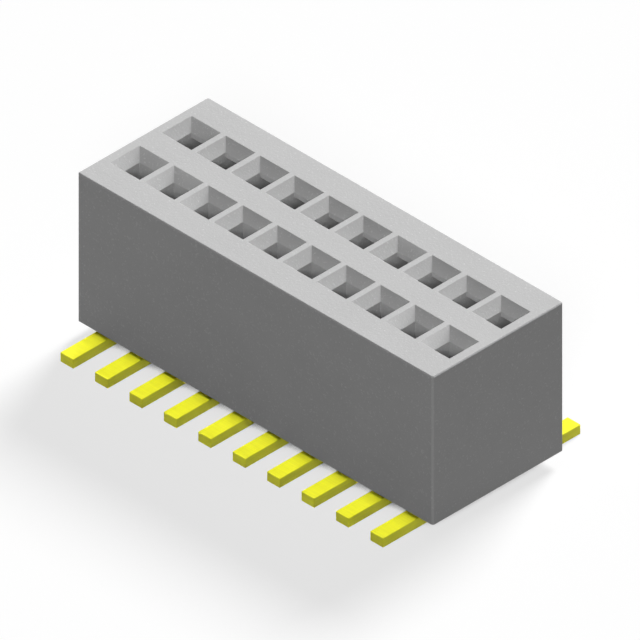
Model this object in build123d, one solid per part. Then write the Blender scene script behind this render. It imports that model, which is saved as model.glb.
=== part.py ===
from build123d import *
import os

# Surface-mount socket header with two rows of sockets. All sizes are in millimetres.
# The origin is on the board, under the middle of the housing: +X runs along the rows, +Y across
# them, and +Z is the way a mated pin header leaves.

# The grid of the sockets
columns = 10
pitch = 0.80
row_spacing = 1.20

# The square pin that the sockets take, and its clearance to each side of the hole
pin = 0.30
pin_play = 0.025

# Housing
housing_height = 2.98
end_margin = 0.53
side_margin = 0.92
corner_chamfer = 0.03
top_chamfer = 0.02

# Sockets, from the top face down: a 45 degree lead-in all round, then a square hole whose wall on
# the outboard side is only a short land, above a pocket that runs down to the open underside
lead_in = 0.17
outboard_land = 0.10
inboard_depth = 0.52
side_wall = 0.40
web = 0.36
entry_chamfer = 0.05

# Contacts, each a flat blade that stands across the rows, stamped from strip
strip_play = 0.025
tail_height = 0.19
tail_reach = 0.775
tail_gap = 0.06
heel_lift = 0.05
heel_inset = 0.16
base_play = 0.02
base_height = 0.62
barb_height = 0.16
barb_foot = 0.30
bend_radius = 0.04

# Fork at the top of each contact: two tapering beams that grip the pin between round bumps
grip = 0.05
slot_play = 0.02
slot_floor = 0.12
beam_root_play = 0.06
beam_tip = 0.075
tip_play = 0.08
tip_flare = 0.10
flare_height = 0.24
bump_run = 0.20
bump_radius = 0.08
tip_radius = 0.03

# Worked out from the sizes above
hole = pin + 2 * pin_play
mouth = hole + 2 * lead_in
strip = hole - 2 * strip_play
housing_length = (columns - 1) * pitch + 2 * end_margin
housing_width = row_spacing + 2 * side_margin
underside = tail_height + tail_gap
top = underside + housing_height
inboard_wall = row_spacing / 2 - web / 2
outboard_wall = side_margin - side_wall
outboard_ceiling = top - lead_in - outboard_land
inboard_ceiling = top - inboard_depth


def upright(outline):
    """A closed outline of (outward, up, corner radius) points as a face across the rows."""
    points = [(outward, up) for outward, up, radius in outline]
    radii = [radius for outward, up, radius in outline]
    return Plane.YZ * make_face(FilletPolyline(*points, radius=radii, close=True))


def funnel(low, high, height):
    """A block that narrows or widens evenly from its (x, y) size at the bottom to the one at the top."""
    (x_low, y_low), (x_high, y_high) = low, high
    wedge = Wedge(
        x_low,
        height,
        y_low,
        (x_low - x_high) / 2,
        (y_low - y_high) / 2,
        (x_low + x_high) / 2,
        (y_low + y_high) / 2,
        align=(Align.CENTER, Align.MIN, Align.CENTER),
    )
    return Rot(90, 0, 0) * wedge


def socket_void():
    """The hollow of one socket of the +Y row, with the pin's axis on Z."""
    outline = [
        (-hole / 2, top, 0),
        (hole / 2, top, 0),
        (hole / 2, outboard_ceiling, 0),
        (outboard_wall, outboard_ceiling, 0),
        (outboard_wall, underside, 0),
        (-inboard_wall, underside, 0),
        (-inboard_wall, inboard_ceiling, 0),
        (-hole / 2, inboard_ceiling, 0),
    ]
    shaft = extrude(upright(outline), amount=hole / 2, both=True)
    lead = Pos(0, 0, top - lead_in) * funnel((hole, hole), (mouth, mouth), lead_in)
    depth = inboard_wall + outboard_wall
    wide = (hole + 2 * entry_chamfer, depth + 2 * entry_chamfer)
    entry = Pos(0, outboard_wall - depth / 2, underside) * funnel(wide, (hole, depth), entry_chamfer)
    return shaft + lead + entry


def fork_contact():
    """One contact of the +Y row, with the pin's axis on Z and the sole of its tail on the board."""
    tail_end = side_margin + tail_reach
    outboard_edge = outboard_wall - base_play
    inboard_edge = -inboard_wall + base_play
    barb_low = underside + barb_foot
    barb_high = barb_low + barb_height
    shoulder = underside + base_height
    slot_root = shoulder + slot_floor
    slot_half = pin / 2 + slot_play
    grip_half = pin / 2 - grip
    tip = inboard_ceiling - tip_play
    bump = tip - flare_height
    tip_inside = grip_half + tip_flare
    tip_outside = tip_inside + beam_tip
    beam_root = inboard_wall - beam_root_play

    outboard_beam = [
        (beam_root, shoulder + base_play, bend_radius),
        (tip_outside, tip, tip_radius),
        (tip_inside, tip, tip_radius),
        (grip_half, bump, bump_radius),
        (slot_half, bump - bump_run, 0),
        (slot_half, slot_root, 0.9 * slot_half),
    ]
    inboard_beam = [(-outward, up, radius) for outward, up, radius in reversed(outboard_beam)]
    heel = [
        (inboard_edge, shoulder, 0),
        (inboard_edge, barb_high, 0),
        (-inboard_wall, barb_high, 0),
        (-inboard_wall, barb_high - barb_height / 2, 0),
        (inboard_edge, barb_low, 0),
        (inboard_edge, heel_lift, 0),
        (outboard_edge - heel_inset, heel_lift, 0),
        (outboard_edge - heel_inset + heel_lift, 0, 0),
    ]
    tail = [
        (tail_end, 0, 0),
        (tail_end, tail_height, 0),
        (outboard_edge, tail_height, bend_radius),
        (outboard_edge, barb_low, 0),
        (outboard_wall, barb_high - barb_height / 2, 0),
        (outboard_wall, barb_high, 0),
        (outboard_edge, barb_high, 0),
        (outboard_edge, shoulder, 0),
    ]
    return extrude(upright(heel + tail + outboard_beam + inboard_beam), amount=strip / 2, both=True)


def housing():
    """The moulded insulator, with its sockets cut through it."""
    block = Pos(0, 0, underside) * Box(
        housing_length, housing_width, housing_height, align=(Align.CENTER, Align.CENTER, Align.MIN)
    )
    block = chamfer(block.edges().filter_by(Axis.Z), corner_chamfer)
    block = chamfer(block.edges().group_by(Axis.Z)[-1], top_chamfer)
    void = socket_void()
    voids = []
    for x in column_places():
        voids.append(Pos(x, row_spacing / 2, 0) * void)
        voids.append(Pos(x, -row_spacing / 2, 0) * Rot(0, 0, 180) * void)
    return block - voids


def column_places():
    """The columns' places along X, from the -X end."""
    return [(column - (columns - 1) / 2) * pitch for column in range(columns)]


def write(name, solid):
    export_step(solid, f"parts/{name}.step")


os.makedirs("parts", exist_ok=True)
write("housing", housing())
contact = fork_contact()
for number, x in enumerate(column_places(), start=1):
    write(f"contact_a{number:02d}", Pos(x, -row_spacing / 2, 0) * Rot(0, 0, 180) * contact)
    write(f"contact_b{number:02d}", Pos(x, row_spacing / 2, 0) * contact)
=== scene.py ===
import math

import bpy
from mathutils import Matrix, Vector

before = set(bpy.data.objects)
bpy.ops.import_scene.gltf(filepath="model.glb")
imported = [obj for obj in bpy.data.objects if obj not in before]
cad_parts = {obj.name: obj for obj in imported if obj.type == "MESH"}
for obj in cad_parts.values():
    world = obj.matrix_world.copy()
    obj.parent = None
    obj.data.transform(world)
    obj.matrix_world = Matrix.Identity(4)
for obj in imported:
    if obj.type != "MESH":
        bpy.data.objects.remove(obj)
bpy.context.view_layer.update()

# Lengths are in metres. A material works in millimetres, because a texture's scale counts per metre.
MM = 0.001
PER_MM = 1 / MM

# The photograph: an isometric drawing, 640 pixels across
PHOTO_WIDTH = 640
PIXELS_PER_MM = 60.853
AZIMUTH = math.radians(45)
ELEVATION = math.atan(math.sqrt(0.5))
AIM_HEIGHT = 1.564 * MM
OBJECT_RIGHT_OF_MIDDLE = 0.44 / PIXELS_PER_MM * MM
CAMERA_DISTANCE = 0.1

# The edges of the pieces: how wide they are broken, and what counts as flat, sharp and one point
MOULDED_EDGE = 0.005 * MM
SHEARED_EDGE = 0.009 * MM
FLAT_ANGLE = math.radians(0.5)
SHARP_ANGLE = math.radians(35)
SAME_POINT = 0.0002 * MM

# The floor: its size, and how near the object has to be for the floor's glow to be painted darker under it
FLOOR_SIZE = 0.6
PAINTED_SHADE_REACH = 1.0 * MM

# Plating: the palest and deepest lemon of its patches
DEEP_LEMON = (0.93, 0.91, 0.022, 1.0)
PALE_LEMON = (0.97, 0.96, 0.034, 1.0)


# Materials

def grey(level):
    return (level, level, level, 1.0)


class Graph:
    """The node tree of a new material or world, with short calls for the nodes that they share."""

    def __init__(self, owner, output="ShaderNodeOutputMaterial"):
        owner.use_nodes = True
        self.owner = owner
        self.tree = owner.node_tree
        self.tree.nodes.clear()
        self.output = self.tree.nodes.new(output)

    def node(self, kind, values=None, **settings):
        made = self.tree.nodes.new(kind)
        for key, value in settings.items():
            setattr(made, key, value)
        for key, value in (values or {}).items():
            if isinstance(value, bpy.types.NodeSocket):
                self.tree.links.new(value, made.inputs[key])
            else:
                made.inputs[key].default_value = value
        return made

    def place(self, stretch):
        """The point on the piece in millimetres, stretched by a factor along each axis."""
        coordinates = self.node("ShaderNodeTexCoord").outputs["Object"]
        factors = tuple(PER_MM * s for s in stretch)
        scaled = self.node("ShaderNodeVectorMath", {0: coordinates, 1: factors}, operation="MULTIPLY")
        return scaled.outputs["Vector"]

    def noise(self, stretch, detail=2.0, roughness=0.5, distortion=0.0):
        values = {
            "Vector": self.place(stretch),
            "Scale": 1.0,
            "Detail": detail,
            "Roughness": roughness,
            "Distortion": distortion,
        }
        return self.node("ShaderNodeTexNoise", values).outputs["Fac"]

    def remap(self, value, low, high, start=0.3, end=0.7):
        values = {"Value": value, "From Min": start, "From Max": end, "To Min": low, "To Max": high}
        return self.node("ShaderNodeMapRange", values).outputs["Result"]

    def mix(self, share, a, b, blend="MIX"):
        """Two colours mixed. Sockets 0, 6 and 7 are a colour mix's share and colours, and 2 its result."""
        made = self.node("ShaderNodeMix", {0: share, 6: a, 7: b}, data_type="RGBA", blend_type=blend)
        return made.outputs[2]

    def bump(self, height, depth, under=None):
        """A bump of that depth in millimetres, over the one under it."""
        values = {"Height": height, "Strength": 1.0, "Distance": depth * MM}
        if under is not None:
            values["Normal"] = under
        return self.node("ShaderNodeBump", values).outputs["Normal"]

    def looked_at(self):
        """1 where the camera, gloss or glass looks, and 0 for all other light."""
        path = self.node("ShaderNodeLightPath").outputs
        seen = path["Is Camera Ray"]
        for ray in ("Is Glossy Ray", "Is Transmission Ray"):
            seen = self.node("ShaderNodeMath", {0: seen, 1: path[ray]}, operation="MAXIMUM").outputs[0]
        return seen

    def finish(self, shader):
        self.tree.links.new(shader, self.output.inputs["Surface"])
        return self.owner


def housing_plastic():
    """Light grey moulded plastic: spark-eroded grain, faint flow streaks and fine flecks of glass fibre."""
    g = Graph(bpy.data.materials.new("housing_plastic"))
    cloud = g.remap(g.noise((0.7, 0.9, 0.9), detail=3.0), 0.0, 1.0)
    tone = g.mix(cloud, grey(0.555), grey(0.605))
    streak = g.remap(g.noise((1.1, 7.0, 7.0), detail=3.0, distortion=0.4), 0.0, 1.0)
    tone = g.mix(streak, tone, grey(0.585))
    fleck = g.remap(g.noise((26.0, 26.0, 26.0), detail=1.0), 0.0, 1.0, start=0.62, end=0.74)
    colour = g.mix(fleck, tone, grey(0.70))
    grain = g.noise((24.0, 24.0, 24.0), detail=3.0, roughness=0.6)
    fine = g.noise((62.0, 62.0, 62.0), detail=2.0)
    normal = g.bump(fine, 0.0016, g.bump(grain, 0.0042))
    shader = g.node("ShaderNodeBsdfPrincipled", {
        "Base Color": colour,
        "Roughness": g.remap(grain, 0.52, 0.66),
        "IOR": 1.5,
        "Normal": normal,
    })
    return g.finish(shader.outputs["BSDF"])


def contact_gold():
    """Satin gold plating over a blanked blade: rolling lines on its faces, shear lines on its edges."""
    g = Graph(bpy.data.materials.new("contact_gold"))
    patch = g.remap(g.noise((2.2, 2.2, 2.2), detail=3.0), 0.0, 1.0)
    colour = g.mix(patch, DEEP_LEMON, PALE_LEMON)
    rolled = g.noise((2.0, 1.2, 42.0), detail=3.0, roughness=0.6)
    sheared = g.noise((1.5, 38.0, 38.0), detail=3.0, roughness=0.6)
    across = g.node("ShaderNodeSeparateXYZ", {0: g.node("ShaderNodeNewGeometry").outputs["Normal"]})
    facing = g.node("ShaderNodeMath", {0: across.outputs["X"]}, operation="ABSOLUTE").outputs[0]
    on_face = g.remap(facing, 0.0, 1.0, start=0.4, end=0.6)
    lines = g.node("ShaderNodeMix", {0: on_face, 2: sheared, 3: rolled}).outputs[0]
    colour = g.mix(1.0, colour, g.remap(lines, 0.90, 1.0), blend="MULTIPLY")
    pores = g.noise((26.0, 26.0, 26.0), detail=2.0)
    normal = g.bump(pores, 0.0010, g.bump(lines, 0.0026))
    shader = g.node("ShaderNodeBsdfPrincipled", {
        "Base Color": colour,
        "Metallic": 0.26,
        "Roughness": g.remap(lines, 0.30, 0.50),
        "Specular IOR Level": 0.25,
        "Normal": normal,
    })
    return g.finish(shader.outputs["BSDF"])


def floor_paper():
    """A white floor that keeps the object's shadow, and whose glow is painted darker where the object
    covers it closely: a painted shade under the object.

    Light that bounces up from it is that of a darker floor.
    """
    g = Graph(bpy.data.materials.new("floor_paper"))
    paper = g.node("ShaderNodeBsdfDiffuse", {"Color": grey(0.36)}).outputs[0]
    # Painted shade: the floor's glow is dimmed by how closely the object covers it, a shadow painted under
    # the object
    uncovered = g.node("ShaderNodeAmbientOcclusion", {"Distance": PAINTED_SHADE_REACH}).outputs["AO"]
    level = g.remap(uncovered, 0.0, 0.69, start=0.05, end=0.16)
    painted_shade_glow = g.node("ShaderNodeEmission", {"Color": grey(1.0), "Strength": level}).outputs[0]
    pale = g.node("ShaderNodeAddShader", {0: paper, 1: painted_shade_glow}).outputs[0]
    dark = g.node("ShaderNodeBsdfDiffuse", {"Color": grey(0.12)}).outputs[0]
    shader = g.node("ShaderNodeMixShader", {0: g.looked_at(), 1: dark, 2: pale})
    return g.finish(shader.outputs[0])


# The object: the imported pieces, with their sheared and moulded edges broken and their looks

def dress(piece, material, edge):
    """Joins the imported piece's faces, breaks its sharp edges by that width and gives it its look."""
    weld = piece.modifiers.new("weld", "WELD")
    weld.merge_threshold = SAME_POINT
    flats = piece.modifiers.new("flats", "DECIMATE")
    flats.decimate_type = "DISSOLVE"
    flats.angle_limit = FLAT_ANGLE
    bevel = piece.modifiers.new("broken_edges", "BEVEL")
    bevel.width = edge
    bevel.segments = 2
    bevel.limit_method = "ANGLE"
    bevel.angle_limit = SHARP_ANGLE
    bevel.use_clamp_overlap = False
    shading = piece.modifiers.new("shading", "WEIGHTED_NORMAL")
    shading.keep_sharp = True
    if not piece.material_slots:
        piece.data.materials.append(None)
    for slot in piece.material_slots:
        slot.material = material


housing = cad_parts["housing"]
contacts = [piece for name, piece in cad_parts.items() if name != "housing"]
dress(housing, housing_plastic(), MOULDED_EDGE)
gold = contact_gold()
for contact in contacts:
    dress(contact, gold, SHEARED_EDGE)
    contact.visible_diffuse = False
    contact.visible_glossy = False


# Floor, light and camera

def add_floor():
    mesh = bpy.data.meshes.new("floor")
    half = FLOOR_SIZE / 2
    corners = [(-half, -half, 0), (half, -half, 0), (half, half, 0), (-half, half, 0)]
    mesh.from_pydata(corners, [], [(0, 1, 2, 3)])
    mesh.materials.append(floor_paper())
    floor = bpy.data.objects.new("floor", mesh)
    bpy.context.scene.collection.objects.link(floor)


def add_world(ambient):
    """White where the camera, gloss and glass look, and a soft grey light for everything else."""
    g = Graph(bpy.data.worlds.new("studio"), output="ShaderNodeOutputWorld")
    strength = g.remap(g.looked_at(), ambient, 1.0, start=0.0, end=1.0)
    background = g.node("ShaderNodeBackground", {"Color": grey(1.0), "Strength": strength})
    bpy.context.scene.world = g.finish(background.outputs[0])


def add_sun(name, towards, level, softness):
    """A soft sun that shines from that direction and lights a surface that faces it to level."""
    light = bpy.data.lights.new(name, "SUN")
    light.energy = level * math.pi
    light.angle = math.radians(softness)
    sun = bpy.data.objects.new(name, light)
    sun.rotation_euler = Vector(towards).to_track_quat("Z", "Y").to_euler()
    bpy.context.scene.collection.objects.link(sun)
    return sun


def light_only(sun, pieces, state="INCLUDE"):
    """Links the sun to those pieces alone, or to all but them. Every piece still casts its shadow."""
    lit = bpy.data.collections.new(f"{sun.name}_pieces")
    for piece in pieces:
        lit.objects.link(piece)
    sun.light_linking.receiver_collection = lit
    for member in lit.collection_objects:
        member.light_linking.link_state = state


def add_camera():
    """The drawing's own view: parallel lines, from the front right and above."""
    data = bpy.data.cameras.new("camera")
    data.type = "ORTHO"
    data.ortho_scale = PHOTO_WIDTH / PIXELS_PER_MM * MM
    data.clip_start = 0.01
    data.clip_end = 1.0
    camera = bpy.data.objects.new("camera", data)
    right = Vector((math.cos(AZIMUTH), math.sin(AZIMUTH), 0))
    back = Vector((
        math.sin(AZIMUTH) * math.cos(ELEVATION),
        -math.cos(AZIMUTH) * math.cos(ELEVATION),
        math.sin(ELEVATION),
    ))
    aim = Vector((0, 0, AIM_HEIGHT)) - right * OBJECT_RIGHT_OF_MIDDLE
    turn = back.to_track_quat("Z", "Y").to_matrix().to_4x4()
    camera.matrix_world = Matrix.Translation(aim + back * CAMERA_DISTANCE) @ turn
    bpy.context.scene.collection.objects.link(camera)
    bpy.context.scene.camera = camera


add_floor()
add_world(ambient=0.048)
key = add_sun("key", towards=(-0.17, 0.74, 0.67), level=0.995, softness=20)
light_only(key, contacts, state="EXCLUDE")
overhead = add_sun("overhead", towards=(-0.12, 0, 1), level=0.93, softness=12)
light_only(overhead, contacts)
add_sun("fill", towards=(0.97, -1.15, 0.98), level=0.236, softness=12)
add_camera()
bpy.context.scene.view_settings.view_transform = "Standard"
